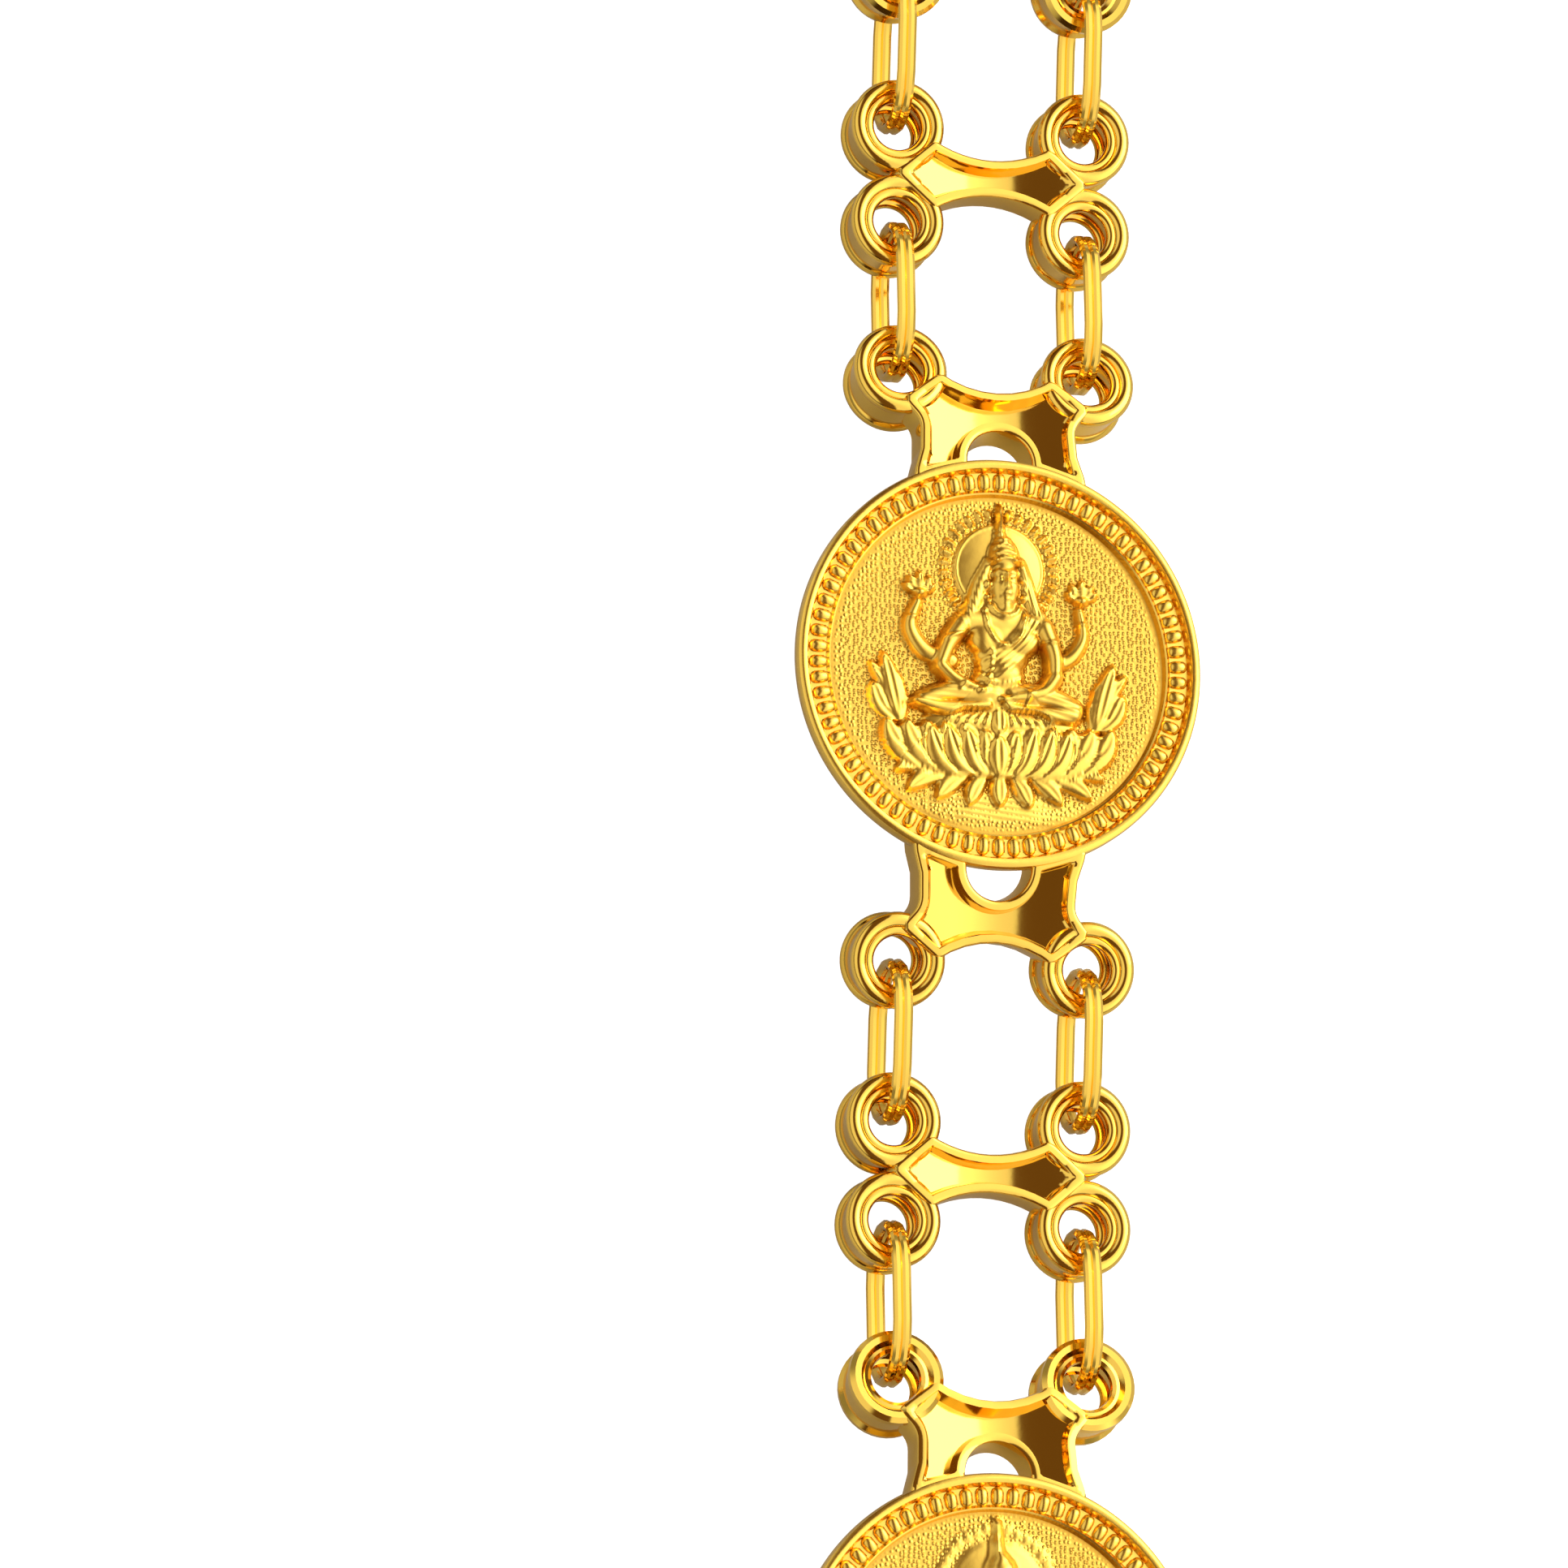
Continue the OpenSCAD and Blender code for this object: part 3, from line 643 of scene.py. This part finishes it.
def ganesha_relief(x, y):
    """Elephant-headed figure with a tall crown and four arms, seated on a plain stepped plinth."""
    h = np.zeros_like(x)
    # Plinth, ears and crown
    for half_w, cy, half_h, top in ((3.45, -3.93, 0.25, 0.3), (2.85, -4.4, 0.25, 0.22)):
        inside = np.minimum(half_w - np.abs(x - 0.15), half_h - np.abs(y - cy))
        h = over(h, top * smooth_step(inside / 0.14))
    for side in (-1, 1):
        h = over(h, oval(x, y, 0.2 + side * 1.5, 1.95, 0.95, 1.0, 0.36, 0.6))
        h = h - oval(x, y, 0.2 + side * 1.45, 1.95, 0.62, 0.68, 0.14, 0.6)
    for cy, rx, ry, top in ((2.75, 1.05, 0.42, 0.5), (3.25, 0.85, 0.36, 0.5), (3.7, 0.62, 0.32, 0.49),
                            (4.1, 0.45, 0.28, 0.48), (4.45, 0.32, 0.22, 0.47), (4.75, 0.2, 0.2, 0.46),
                            (5.0, 0.17, 0.2, 0.52)):
        h = over(h, oval(x, y, 0.22, cy, rx, ry, top))
    # Back arms, whose hands hold a lotus bud
    for side, cx in ((-1, -2.55), (1, 2.95)):
        arm = [(0.2 + side * 1.45, 0.6), (cx + side * 0.22, 1.1), (cx, 2.7)]
        h = over(h, limb(x, y, arm, (0.36, 0.32, 0.24), 0.31), SOFT)
        for a in (-60, 60, -30, 30, 0):
            tip = (cx + 0.6 * math.sin(math.radians(a)), 2.8 + 0.62 * math.cos(math.radians(a)))
            h = leaf(h, x, y, [(cx, 2.7), tip], 0.15, 0.36, vein=0.15)
    h = over(h, limb(x, y, [(-1.1, 0.75), (1.5, 0.75)], (0.5, 0.5), 0.4), SOFT)
    h = over(h, oval(x, y, 0.2, -1.15, 1.5, 1.45, 0.68, 0.5), SOFT)
    # Crossed legs with folds of cloth
    for points, radii, top in (([(-0.7, -2.55), (-2.9, -2.5)], (0.55, 0.42), 0.5),
                               ([(1.1, -2.55), (3.2, -2.5)], (0.55, 0.42), 0.5),
                               ([(-2.9, -2.5), (0.1, -3.3)], (0.42, 0.26), 0.44),
                               ([(3.2, -2.5), (0.5, -3.3)], (0.42, 0.26), 0.43)):
        leg = limb(x, y, points, radii, top)
        h = over(h, leg + np.where(leg > 0.05, folds(x, y, 65, 0.3, 0.025), 0), SOFT)
    # Front arms and hands
    for points, radii, top in (([(-1.4, 0.5), (-2.3, -0.8)], (0.4, 0.32), 0.47),
                               ([(-2.3, -0.8), (-1.5, -1.45)], (0.32, 0.24), 0.56),
                               ([(1.8, 0.5), (2.65, -0.8)], (0.4, 0.32), 0.46),
                               ([(2.65, -0.8), (1.8, -1.5)], (0.32, 0.24), 0.57)):
        h = over(h, limb(x, y, points, radii, top), SOFT)
    for cx, cy in ((-1.4, -1.5), (1.7, -1.55)):
        h = over(h, oval(x, y, cx, cy, 0.3, 0.26, 0.66))
    # Head, trunk, eyes and tusks
    h = over(h, oval(x, y, 0.2, 2.0, 0.95, 0.95, 0.66, 0.5), SOFT)
    trunk = limb(x, y, [(0.2, 1.6), (0.12, 0.6), (-0.2, -0.15), (-0.8, -0.4)], (0.46, 0.36, 0.3, 0.22), 0.69)
    h = over(h, trunk + np.where(trunk > 0.1, folds(x, y, 90, 0.2, 0.015), 0), 0.03)
    for cx in (-0.2, 0.6):
        h = h - oval(x, y, cx, 2.05, 0.12, 0.06, 0.06)
    for side in (-1, 1):
        h = over(h, limb(x, y, [(0.2 + side * 0.5, 1.3), (0.2 + side * 0.62, 0.95)], (0.12, 0.06), 0.62))
    for k in range(15):
        a = math.radians(200 + 10 * k)
        bead = oval(x, y, 0.2 + 1.1 * math.cos(a), 0.6 + 0.9 * math.sin(a), 0.07, 0.07, 0.07)
        h = h + np.where(h > 0.1, bead, 0)
    return h


def averaged(rows, reach):
    """The rows with each value replaced by the mean of those within reach of it, along both axes."""
    for axis in (0, 1):
        rows = sum(np.roll(rows, s, axis) for s in range(-reach, reach + 1)) / (2 * reach + 1)
    return rows


def relief_plug(relief, radius, cells, blur):
    """Closed disc whose face is the field with its figure. A square grid is drawn in to a round one. Two
    values are kept at each point: how deep its colour is, and how far the field is smooth there. The colour
    is deepest in recesses, as partly patina and partly painted shade, and a little deeper on the bare field
    and on the smooth ring at the field's edge."""
    bm = bmesh.new()
    bmesh.ops.create_grid(bm, x_segments=cells, y_segments=cells, size=1)
    n = cells + 1
    flat = np.array([v.co[:2] for v in bm.verts])
    far = np.abs(flat).max(axis=1)
    length = np.maximum(np.linalg.norm(flat, axis=1), 1e-9)
    flat *= (far / length * radius)[:, None]
    height = np.minimum(relief(flat[:, 0], flat[:, 1]), RELIEF_TOP)
    along_x = np.round([v.co.x for v in bm.verts], 6)
    along_y = np.round([v.co.y for v in bm.verts], 6)
    order = np.lexsort((along_x, along_y))
    rows = height[order].reshape(n, n)
    for _ in range(blur):
        rows = averaged(rows, 1)
    height[order] = rows.ravel()
    # Painted shade and patina: the colour deepens where the surface lies below the mean of its surroundings.
    reach = max(1, round(RECESS_REACH / (2 * radius / cells)))
    cavity_patina_and_shade = np.zeros(n * n)
    cavity_patina_and_shade[order] = np.clip((averaged(rows, reach) - rows).ravel() / RECESS_DEPTH, 0, 1)
    figure_part = np.clip(height / FIGURE_FROM, 0, 1)
    ring = smooth_step((far - 1) * radius / SMOOTH_RING_W + 1)
    edge = far > 1 - 1.5 / cells
    for v, (x, y), z in zip(bm.verts, flat, np.where(edge, 0, height)):
        v.co = (x * MM, y * MM, (FIELD_Z + z) * MM)
    patina_and_shade = bm.verts.layers.float.new("patina_and_shade")
    figure = bm.verts.layers.float.new("figure")
    for v, depth, part, smooth in zip(bm.verts, cavity_patina_and_shade, figure_part, ring):
        v[patina_and_shade] = max(depth, FIELD_TONE * (1 - part), SMOOTH_RING_TONE * smooth)
        v[figure] = max(part, smooth)
    made = bmesh.ops.extrude_edge_only(bm, edges=[e for e in bm.edges if e.is_boundary])["geom"]
    for v in (g for g in made if isinstance(g, bmesh.types.BMVert)):
        v.co.z = (FIELD_Z - PLUG_DEPTH) * MM
    bmesh.ops.contextual_create(bm, geom=[e for e in bm.edges if e.is_boundary])
    bmesh.ops.recalc_face_normals(bm, faces=bm.faces)
    return bm


SMOOTH_UP_TO = math.radians(35)


def finished(name, bm, materials, node, matrix):
    """Turns a bmesh into a named piece that stands for a node."""
    mesh = bpy.data.meshes.new(name)
    bm.to_mesh(mesh)
    mesh.transform(matrix)
    mesh.shade_smooth()
    mesh.set_sharp_from_angle(angle=SMOOTH_UP_TO)
    for mat in materials:
        mesh.materials.append(mat)
    piece = bpy.data.objects.new(name, mesh)
    bpy.context.scene.collection.objects.link(piece)
    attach(piece, "root")
    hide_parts(node)


DOT_PITCH = 0.145
DOT_HEIGHT = 0.04


def field_gold(name, roughness, stipple):
    """Cast gold of a medallion's face. The bare field is stippled, and the figure is smooth and satin."""
    mat = gold(name, roughness, *CAST_CLOUD)
    nodes, links = mat.node_tree.nodes, mat.node_tree.links
    place = next(n for n in nodes if n.type == "TEX_COORD")
    dots = nodes.new("ShaderNodeTexVoronoi")
    dots.voronoi_dimensions = "2D"
    dots.inputs["Scale"].default_value = 1 / (DOT_PITCH * MM)
    dots.inputs["Randomness"].default_value = 0.65
    links.new(place.outputs["Object"], dots.inputs["Vector"])
    dot = nodes.new("ShaderNodeMapRange")
    dot.interpolation_type = "SMOOTHSTEP"
    dot.inputs["From Min"].default_value = 0.05
    dot.inputs["From Max"].default_value = 0.5
    dot.inputs["To Min"].default_value = 1.0
    dot.inputs["To Max"].default_value = 0.0
    links.new(dots.outputs["Distance"], dot.inputs["Value"])
    figure = nodes.new("ShaderNodeAttribute")
    figure.attribute_name = "figure"
    bare = nodes.new("ShaderNodeMath")
    bare.operation = "SUBTRACT"
    bare.inputs[0].default_value = 1.0
    links.new(figure.outputs["Fac"], bare.inputs[1])
    amount = nodes.new("ShaderNodeMath")
    amount.operation = "MULTIPLY"
    links.new(bare.outputs["Value"], amount.inputs[0])
    links.new(dot.outputs["Result"], amount.inputs[1])
    stippled = nodes.new("ShaderNodeBump")
    stippled.inputs["Strength"].default_value = stipple
    stippled.inputs["Distance"].default_value = DOT_HEIGHT * MM
    links.new(amount.outputs["Value"], stippled.inputs["Height"])
    fine = next(n for n in nodes if n.type == "BUMP" and n != stippled)
    links.new(fine.outputs["Normal"], stippled.inputs["Normal"])
    links.new(stippled.outputs["Normal"], nodes["Principled BSDF"].inputs["Normal"])
    return mat


relief_gold = field_gold("relief_gold", 0.3, 0.8)
mirror_field = field_gold("mirror_field_gold", 0.07, 0.0)


# Medallions. A body, its relief, its border bars and two brackets are soldered into one piece. The one in
# front of the camera and its neighbours have the finest meshes. The Ganesha one has a plain wide rim.
RIM_W = 0.34
PLAIN_RIM_W = 0.62


def medallion(detail, relief, is_ganesha):
    bm = bmesh.new()
    join(bm, coin_body(detail, COIN_R - (PLAIN_RIM_W if is_ganesha else RIM_W)), material=0)
    join(bm, relief_plug(relief, FIELD_R + PLUG_OVERLAP, detail["cells"], detail["blur"]), material=1)
    if not is_ganesha:
        join(bm, border_bars(detail), material=0)
    for angle in (0, math.pi):
        join(bm, bracket(detail), Matrix.Rotation(angle, 4, "Z"), material=2)
    return bm


goddess_materials = [coin_gold, relief_gold, polished]
ganesha_materials = [polished, mirror_field, polished]
plain_medallion = medallion(PLAIN, goddess_relief, False)
middle_medallion = medallion(MIDDLE, goddess_relief, False)
for i in range(COUNT):
    node = station_node(i)
    matrix = medallion_at[i] @ Matrix.Rotation(math.pi if is_flipped(i) else 0, 4, "Z")
    if i == GANESHA_STATION:
        bm, materials = medallion(CLEAR, ganesha_relief, True), ganesha_materials
    else:
        bm, materials = plain_medallion, goddess_materials
        if i == NEAR_STATION:
            bm = medallion(FINE, goddess_relief, False)
        elif abs(i - NEAR_STATION) == 1:
            bm = middle_medallion
    finished(f"{node}_cast", bm, materials, node, matrix)


# Spacers. Each is a bow-tie plate with a hollow polished face, soldered over four ring eyes.
SPACER_REACH = 1.55
SPACER_HALF_W = 3.2
spacer_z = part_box("spacer_01")[0].z + (EYE_DEPTH / 2 + EYE_WIRE_R) * MM


def spacer_angle(i):
    return (turns_before(i) + (1 if i % HALF >= LAST_STRAIGHT else 0)) * TURN


def spacer_outline():
    upper = dipped_top(1.9, 1.14, 0.6, 13)
    lower = [(-x, -y) for x, y in upper]
    return rounded([(SPACER_HALF_W, 0.0), *upper, (-SPACER_HALF_W, 0.0), *lower], BEND_REACH)


def four_eyes(bm, detail):
    for sx in (-1, 1):
        for sy in (-1, 1):
            join(bm, ring_eye(detail), Matrix.Translation((sx * ROW_X * MM, sy * SPACER_REACH * MM, 0)))


def spacer(detail):
    bm = bmesh.new()
    join(bm, pressed_plate(spacer_outline(), detail, pocket, PLATE_FRONT - PLATE_T))
    four_eyes(bm, detail)
    return bm


plain_spacer = spacer(PLAIN)
fine_spacer = spacer(FINE)
spacer_at = [placed(spacer_node(i), spacer_z, spacer_angle(i)) for i in range(COUNT)]
for i in range(COUNT):
    if i != CLASP_STATION:
        near = i in (NEAR_STATION - 1, NEAR_STATION)
        finished(f"{spacer_node(i)}_polished", fine_spacer if near else plain_spacer, [polished],
                 spacer_node(i), spacer_at[i])


# Clasp. A plain gold box with a bar across it, soldered over four ring eyes in place of one spacer.
CLASP_BACK = -0.8
CLASP_BEVEL = 0.15


def clasp():
    bm = bmesh.new()
    for half_w, half_h, inset in ((1.7, 2.5, 0.0), (3.6, 0.45, 0.05)):
        box = bmesh.new()
        bmesh.ops.create_cube(box, size=1)
        top, back = PLATE_FRONT - inset, CLASP_BACK + inset
        box.transform(Matrix.Translation((0, 0, (top + back) / 2 * MM))
                      @ Matrix.Diagonal((2 * half_w * MM, 2 * half_h * MM, (top - back) * MM, 1)))
        bmesh.ops.bevel(box, geom=box.edges, offset=CLASP_BEVEL * MM, offset_type="OFFSET", segments=3,
                        profile=0.5, affect="EDGES", clamp_overlap=True, material=-1)
        join(bm, box)
    four_eyes(bm, PLAIN)
    return bm


finished("clasp_polished", clasp(), [polished], "clasp", spacer_at[CLASP_STATION])


# Links. Each is an oval of two round wires side by side, standing on edge through an eye of a medallion and
# an eye of a spacer. A wire's section is spun round both ends and the straight bars join the ends.
LINK_LENGTH = 5.2
LINK_DEPTH = 3.18
LINK_WIRE_R = 0.17
LINK_WIRE_GAP = 0.26
LINK_SIDES = 10
END_STEPS = 9


def wire_oval():
    bm = bmesh.new()
    radius = LINK_DEPTH / 2
    straight = LINK_LENGTH / 2 - radius - LINK_WIRE_R
    made = bmesh.ops.create_circle(bm, segments=LINK_SIDES, radius=LINK_WIRE_R * MM)["verts"]
    bmesh.ops.translate(bm, verts=made, vec=(radius * MM, 0, 0))
    bm.transform(Matrix.Rotation(math.pi / 2, 4, "X"))
    bmesh.ops.translate(bm, verts=bm.verts, vec=(0, straight * MM, 0))
    bmesh.ops.spin(bm, geom=[*bm.verts, *bm.edges], cent=(0, straight * MM, 0), axis=(0, 0, 1),
                   angle=math.pi, steps=END_STEPS, use_merge=False)
    half = [*bm.verts, *bm.edges, *bm.faces]
    copy = bmesh.ops.duplicate(bm, geom=half)["geom"]
    verts = [g for g in copy if isinstance(g, bmesh.types.BMVert)]
    bmesh.ops.rotate(bm, verts=verts, cent=(0, 0, 0), matrix=Matrix.Rotation(math.pi, 3, "Z"))
    rims = [e for e in bm.edges if e.is_boundary]
    right = [e for e in rims if e.verts[0].co.x > 0]
    left = [e for e in rims if e.verts[0].co.x < 0]
    for rim in (right, left):
        bmesh.ops.bridge_loops(bm, edges=rim)
    bmesh.ops.recalc_face_normals(bm, faces=bm.faces)
    return bm


def link():
    bm = bmesh.new()
    for side in (-1, 1):
        join(bm, wire_oval(), Matrix.Translation((0, 0, side * LINK_WIRE_GAP / 2 * MM)))
    bm.transform(Matrix.Rotation(math.pi / 2, 4, "Y"))
    return bm


def bracket_eye(side, end):
    """Middle of a bracket's eye in the medallion's own frame."""
    reach = EYE_REACH - HINGE_Y
    y = HINGE_Y + reach * math.cos(BRACKET_SLOPE)
    z = -BRACKET_BACK - reach * math.sin(BRACKET_SLOPE)
    return Vector((side * ROW_X * MM, end * y * MM, z * MM))


def spacer_eye(side, end):
    return Vector((side * ROW_X * MM, end * SPACER_REACH * MM, 0))


def link_between(a, b):
    """Matrix of a link whose length runs from a to b, standing on edge."""
    run = (b - a).normalized()
    across = run.cross(Vector((0, 0, 1))).normalized()
    turn = Matrix((across, run, across.cross(run))).transposed().to_4x4()
    return Matrix.Translation((a + b) / 2) @ turn


one_link = bpy.data.meshes.new("link")
link().to_mesh(one_link)
for name, side in (("links_outer", 1), ("links_inner", -1)):
    row = bmesh.new()
    for i in range(COUNT):
        after = (i + 1) % COUNT
        first = medallion_at[i] @ bracket_eye(side, 1), spacer_at[i] @ spacer_eye(side, -1)
        second = medallion_at[after] @ bracket_eye(side, -1), spacer_at[i] @ spacer_eye(side, 1)
        for start, end in (first, second):
            copy = one_link.copy()
            copy.transform(link_between(start, end))
            row.from_mesh(copy)
            bpy.data.meshes.remove(copy)
    finished(f"{name}_polished", row, [polished], name, Matrix.Identity(4))


# Floor, light and camera. A plain white table that glows a little, so that it stays white in the picture,
# under a bright white tent with one softbox. The polished gold reflects a brown card above it and to the
# left, and a dimmer band near the table.
TABLE_HALF = 3.0
TABLE_DROP = 0.02
GLOW = 0.1
GLOW_SEEN = 0.95
CARD_RGB = (0.14, 0.075, 0.03)
floor_mesh = bmesh.new()
bmesh.ops.create_grid(floor_mesh, x_segments=1, y_segments=1, size=TABLE_HALF)
floor_data = bpy.data.meshes.new("table")
floor_mesh.to_mesh(floor_data)
floor_data.transform(Matrix.Translation((0, 0, -TABLE_DROP * MM)))
table = bpy.data.objects.new("table", floor_data)
bpy.context.scene.collection.objects.link(table)
paper = bpy.data.materials.new("white_paper")
paper.use_nodes = True
paper_nodes, paper_links = paper.node_tree.nodes, paper.node_tree.links
paper_shader = paper_nodes["Principled BSDF"]
paper_shader.inputs["Roughness"].default_value = 0.9
paper_shader.inputs["Emission Color"].default_value = (1, 1, 1, 1)
glow = paper_nodes.new("ShaderNodeMapRange")
glow.inputs["To Min"].default_value = GLOW
glow.inputs["To Max"].default_value = GLOW_SEEN
seen = paper_nodes.new("ShaderNodeLightPath")
paper_links.new(seen.outputs["Is Camera Ray"], glow.inputs["Value"])
paper_links.new(glow.outputs["Result"], paper_shader.inputs["Emission Strength"])
paper_noise = paper_nodes.new("ShaderNodeTexNoise")
paper_noise.inputs["Scale"].default_value = 60
paper_tone = paper_nodes.new("ShaderNodeMix")
paper_tone.data_type = "RGBA"
paper_tone.inputs["A"].default_value = (0.46, 0.46, 0.46, 1)
paper_tone.inputs["B"].default_value = (0.48, 0.48, 0.48, 1)
paper_links.new(paper_noise.outputs["Fac"], paper_tone.inputs["Factor"])
paper_links.new(paper_tone.outputs["Result"], paper_shader.inputs["Base Color"])
floor_data.materials.append(paper)

world = bpy.data.worlds.new("studio")
bpy.context.scene.world = world
world.use_nodes = True
w_nodes, w_links = world.node_tree.nodes, world.node_tree.links
sky = w_nodes["Background"]
direction = w_nodes.new("ShaderNodeTexCoord")


def fade(along, start, end, low, high):
    """Factor of the tent's light that goes from low to high as the direction's part along an axis grows."""
    part = w_nodes.new("ShaderNodeVectorMath")
    part.operation = "DOT_PRODUCT"
    part.inputs[1].default_value = Vector(along).normalized()
    w_links.new(direction.outputs["Generated"], part.inputs[0])
    spread = w_nodes.new("ShaderNodeMapRange")
    spread.interpolation_type = "SMOOTHSTEP"
    for name, value in (("From Min", start), ("From Max", end), ("To Min", low), ("To Max", high)):
        spread.inputs[name].default_value = value
    w_links.new(part.outputs["Value"], spread.inputs["Value"])
    return spread.outputs["Result"]


def combined(operation, a, b):
    both = w_nodes.new("ShaderNodeMath")
    both.operation = operation
    w_links.new(a, both.inputs[0])
    w_links.new(b, both.inputs[1])
    return both.outputs["Value"]


card_edge = combined("MAXIMUM", fade((1, 0, 0), 0.0, 0.05, 0.0, 1.0),
                     fade((1, 0, 0), -0.6, -0.42, 0.9, 0.0))
horizon = combined("MAXIMUM", fade((0, 0, 1), 0.2, 0.4, 0.3, 1.0), fade((0, 0, 1), -0.02, 0.03, 1.0, 0.3))
right_side = fade((1, 0.2, 0.3), 0.35, 0.8, 1.0, 1.8)
tent = w_nodes.new("ShaderNodeMix")
tent.data_type = "RGBA"
tent.inputs["A"].default_value = (*CARD_RGB, 1)
tent.inputs["B"].default_value = (1, 1, 1, 1)
w_links.new(card_edge, tent.inputs["Factor"])
w_links.new(tent.outputs["Result"], sky.inputs["Color"])
w_links.new(combined("MULTIPLY", horizon, right_side), sky.inputs["Strength"])

coin_centre = medallion_at[NEAR_STATION].translation + Vector((0, 0, RIM_Z * MM))


softbox_at = Vector((0.45, 0.2, 0.4))
softbox_data = bpy.data.lights.new("right_softbox", "AREA")
softbox_data.shape = "SQUARE"
softbox_data.size = 0.45
softbox_data.energy = 1.5
softbox = bpy.data.objects.new("right_softbox", softbox_data)
bpy.context.scene.collection.objects.link(softbox)
softbox.location = coin_centre + softbox_at
softbox.rotation_euler = softbox_at.to_track_quat("Z", "Y").to_euler()

MM_PER_PIXEL = 0.0252
IMAGE_SIZE = 1932
COIN_PIXEL = (1234, 816)
FROM_LEFT = math.radians(14)
FROM_BELOW = math.radians(12)
CAMERA_DISTANCE = 0.26
ROLL = math.radians(0.4)
SENSOR_WIDTH = 36
back = Vector((-math.tan(FROM_LEFT), -math.tan(FROM_BELOW), 1)).normalized()
right = Vector((0, 1, 0)).cross(back).normalized()
right = Matrix.Rotation(ROLL, 3, back) @ right
up = back.cross(right)
camera_data = bpy.data.cameras.new("camera")
camera = bpy.data.objects.new("camera", camera_data)
bpy.context.scene.collection.objects.link(camera)
frame_width = IMAGE_SIZE * MM_PER_PIXEL * MM
camera_data.sensor_width = SENSOR_WIDTH
camera_data.lens = camera_data.sensor_width * CAMERA_DISTANCE / frame_width
aim = (coin_centre - right * (COIN_PIXEL[0] - IMAGE_SIZE / 2) * MM_PER_PIXEL * MM
       - up * (IMAGE_SIZE / 2 - COIN_PIXEL[1]) * MM_PER_PIXEL * MM)
camera.matrix_world = Matrix.Translation(aim + back * CAMERA_DISTANCE) @ Matrix(
    (right, up, back)).transposed().to_4x4()
bpy.context.scene.camera = camera
bpy.context.scene.view_settings.view_transform = "Standard"
